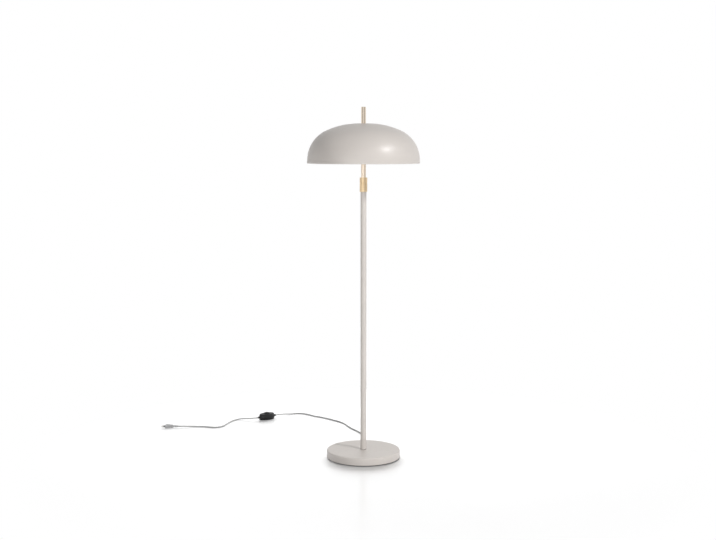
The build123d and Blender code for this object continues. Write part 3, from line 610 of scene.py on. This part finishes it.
# %% Three screws in their places
LID_SCREW_OUT, CLAMP_SCREW_SUNK, CLAMP_SCREW_UP = 0.0155, 0.0002, 0.0025
hub_low, hub_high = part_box("hub_body")
lid_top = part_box("hub_lid")[1].z
screws = [screw]
for name, turn, side in (("hub_screw_lid_front", 20, -1), ("hub_screw_lid_back", 65, 1)):
    copied = bpy.data.objects.new(name, screw.data.copy())
    scene.collection.objects.link(copied)
    on_lid = Matrix.Translation((0, side * LID_SCREW_OUT, lid_top))
    copied.data.transform(on_lid @ Matrix.Rotation(math.radians(turn), 4, "Z"))
    screws.append(copied)
on_back = Matrix.Translation((0, hub_high.y - CLAMP_SCREW_SUNK, hub_low.z + CLAMP_SCREW_UP))
screw.data.transform(on_back @ Matrix.Rotation(math.radians(-90), 4, "X"))
for piece in screws:
    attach(piece, "stem")
print(len(screws), "screws on the hub")

# %% [markdown]
# ## Plug pins
# Each pin has a plastic sleeve on the half next to the plug and bare nickel at the tip. A second piece
# would have to be thinner than paper, so one finish changes from plastic to metal along X.

# %% Sleeved pins
PIN_BARE_FROM = -0.952
pins = Finish("sleeved_pin")
split = pins.node("ShaderNodeSeparateXYZ")
pins.link(pins.place, split.inputs[0])
bare_metal = pins.math("LESS_THAN", split.outputs["X"], PIN_BARE_FROM)
pins.link(bare_metal, "Metallic")
pins.colours(bare_metal, (0.03, 0.03, 0.03), (0.66, 0.65, 0.62), 0.4, 0.6)
pins.link(pins.spread(pins.noise(600.0), 0.24, 0.36), "Roughness")
wear(pins, "plug_pin_left", "plug_pin_right")
print("pins are bare beyond x =", PIN_BARE_FROM)

# %% [markdown]
# ## A white room
# The photograph was taken in a white studio. The room is white for the camera, and what metal mirrors is
# dimmer to the left and right of the camera, as in a studio. That makes the stripes on the polished rod.
# A picture of a room could be wrapped round the lamp, but a band worked out from the direction is enough.

# %% Helpers for the room's light
world = bpy.data.worlds.new("white_studio")
scene.world = world
world.use_nodes = True
room = world.node_tree
background = room.nodes["Background"]
background.inputs["Color"].default_value = (1, 1, 1, 1)
rays = room.nodes.new("ShaderNodeLightPath")


def room_math(operation, first, second):
    """One step of arithmetic on the room's light."""
    step = room.nodes.new("ShaderNodeMath")
    step.operation = operation
    for socket, value in zip(step.inputs, (first, second)):
        if isinstance(value, (int, float)):
            socket.default_value = value
        else:
            room.links.new(value, socket)
    return step.outputs[0]


def room_choice(chosen, otherwise, wanted):
    """One light level, or another one for the rays that are wanted."""
    step = room.nodes.new("ShaderNodeMix")
    room.links.new(chosen, step.inputs["Factor"])
    for socket, value in ((step.inputs["A"], otherwise), (step.inputs["B"], wanted)):
        if isinstance(value, (int, float)):
            socket.default_value = value
        else:
            room.links.new(value, socket)
    return step.outputs["Result"]


print("empty room:", world.name)

# %% White for the camera, dimmer in mirrors
ROOM_LIGHT, MIRRORED_WALLS, MIRRORED_SIDES = 0.35, 0.87, 0.43
BAND_MIDDLE, BAND_HALF = 0.55, 0.45
direction = room.nodes.new("ShaderNodeSeparateXYZ")
room.links.new(room.nodes.new("ShaderNodeTexCoord").outputs["Generated"], direction.inputs[0])
towards_camera = room_math("MULTIPLY", direction.outputs["Y"], -1.0)
off_band = room_math("DIVIDE", room_math("SUBTRACT", towards_camera, BAND_MIDDLE), BAND_HALF)
band = room_math("MAXIMUM", room_math("SUBTRACT", 1.0, room_math("MULTIPLY", off_band, off_band)), 0.0)
mirrored = room_choice(band, MIRRORED_WALLS, MIRRORED_SIDES)
plainly_seen = room_math("MAXIMUM", rays.outputs["Is Camera Ray"], rays.outputs["Is Transmission Ray"])
level = room_choice(rays.outputs["Is Glossy Ray"], ROOM_LIGHT, mirrored)
level = room_choice(plainly_seen, level, 1.0)
room.links.new(level, background.inputs["Strength"])
print("room light", ROOM_LIGHT, "seen as white")

# %% [markdown]
# ## Lamps
# A small hard light stands far off, to the right and above. The bright spot on the shade's shoulder and
# the pole's thin shadow on the base give its direction. A soft panel low on the left, a wide one in front
# and a white wall behind fill the shadows. One bright dome round the lamp would be simpler, but it leaves
# no spot and no shadow.

# %% Lamps
SHADE_MIDDLE, POLE_MIDDLE, BACK_WALL_MIDDLE = (0, 0, 1.3), (0, 0, 1.0), (0, 0, 1.6)
BACK_WALL = ((0.0, 1.0, 0.0), 4.0, 5.0, 2.4)


def soft_light(name, towards, distance, width, height, watts, aim=SHADE_MIDDLE):
    """A soft box in a direction from what it is aimed at, turned to face it."""
    start_fresh()
    direction = Vector(towards).normalized()
    bpy.ops.object.light_add(type="AREA", location=Vector(aim) + direction * distance)
    light = bpy.context.object
    light.name = name
    light.rotation_euler = direction.to_track_quat("Z", "Y").to_euler()
    light.data.shape = "RECTANGLE"
    light.data.size, light.data.size_y = width, height
    light.data.energy = watts
    light.visible_camera = False
    return light


key_light = soft_light("key_light", (0.686, -0.492, 0.536), 7.0, 0.7, 0.7, 290)
fill_light = soft_light("fill_light", (-0.4194, -0.8994, -0.123), 2.6, 1.2, 0.76, 12.5)
front_light = soft_light("front_light", (0.32, -0.94, -0.12), 3.2, 3.2, 1.3, 34, POLE_MIDDLE)
back_light = soft_light("back_light", *BACK_WALL, 147, BACK_WALL_MIDDLE)
for panel in (key_light, front_light, back_light):
    panel.visible_glossy = False
for light in (key_light, fill_light, front_light, back_light):
    print(light.name, "of", round(light.data.energy, 1), "W")

# %% [markdown]
# ## The bright spot on the shade
# Satin paint mirrors the hard light as one soft bright spot on the shade's right shoulder. If all of that
# light were mirrored, the crown would glare white when seen from behind. So the hard light only shines on
# things, and a narrow beam from the same side, like a studio light with a grid, only glints.

# %% A narrow beam for the spot
SHOULDER = (0.10, -0.16, 1.25)
BEAM_DEGREES = 10.5
spark_light = soft_light("spark_light", (0.67, -0.4515, 0.59), 2.485, 0.6, 0.25, 0.32, SHOULDER)
spark_light.visible_diffuse = False
spark_light.data.spread = math.radians(BEAM_DEGREES)
print("beam of", BEAM_DEGREES, "degrees on the shade's shoulder")

# %% [markdown]
# ## Floor
# The floor in the photograph is pure white and shows a faint mirror of the base. A backdrop sheet with a
# curved edge would do, but a large plane is enough, because far from the lamp it fades to plain white.
# The camera sees it a little whiter than the grey white that it gives back to the lamp.

# %% Floor
start_fresh()
FLOOR_SIZE = 40
FADE_FROM, FADE_TO = 0.65, 1.45
bpy.ops.mesh.primitive_plane_add(size=FLOOR_SIZE)
floor = bpy.context.object
floor.name = "studio_floor"
floor_paint = Finish("white_floor")
seen = floor_paint.node("ShaderNodeLightPath").outputs["Is Camera Ray"]
floor_paint.colours(seen, (0.86, 0.86, 0.86), (1, 1, 1), 0, 1)
floor_paint.set("Roughness", 0.16)
from_lamp = floor_paint.node("ShaderNodeVectorMath", operation="LENGTH")
floor_paint.link(floor_paint.place, from_lamp.inputs[0])
far_off = floor_paint.spread(from_lamp.outputs["Value"], 0, 1, FADE_FROM, FADE_TO)
white = floor_paint.node("ShaderNodeEmission")
blend = floor_paint.node("ShaderNodeMixShader")
floor_paint.link(floor_paint.math("MULTIPLY", seen, far_off), blend.inputs["Fac"])
floor_paint.link(floor_paint.shader.outputs[0], blend.inputs[1])
floor_paint.link(white.outputs[0], blend.inputs[2])
floor_paint.link(blend.outputs[0], floor_paint.tree.nodes["Material Output"].inputs["Surface"])
floor.data.materials.append(floor_paint.material)
print("floor laid, plain white beyond", FADE_TO, "m")

# %% [markdown]
# ## Light on the floor
# The lamp darkens the floor only in front of the base, so most of the floor's light comes from the bright
# wall behind, and the hard light is kept off it, as with a flag in a studio. More light on everything
# would make the floor white too, but the lamp would wash out. Light linking does it: a collection names
# what a light leaves out, or what it lights alone.

# %% A flag for the hard light and a light for the floor
left_out = bpy.data.collections.new("out_of_the_key_light")
left_out.objects.link(floor)
left_out.collection_objects[0].light_linking.link_state = "EXCLUDE"
key_light.light_linking.receiver_collection = left_out
wall_light = soft_light("wall_light", *BACK_WALL, 375, BACK_WALL_MIDDLE)
wall_light.visible_glossy = False
lit_alone = bpy.data.collections.new("in_the_wall_light")
lit_alone.objects.link(floor)
wall_light.light_linking.receiver_collection = lit_alone
print("light of the wall on the floor:", wall_light.data.energy, "W")

# %% [markdown]
# ## Close the scene
# The picture uses the Standard view, so a colour renders about as it is written.

# %% Standard view
scene.view_settings.view_transform = "Standard"
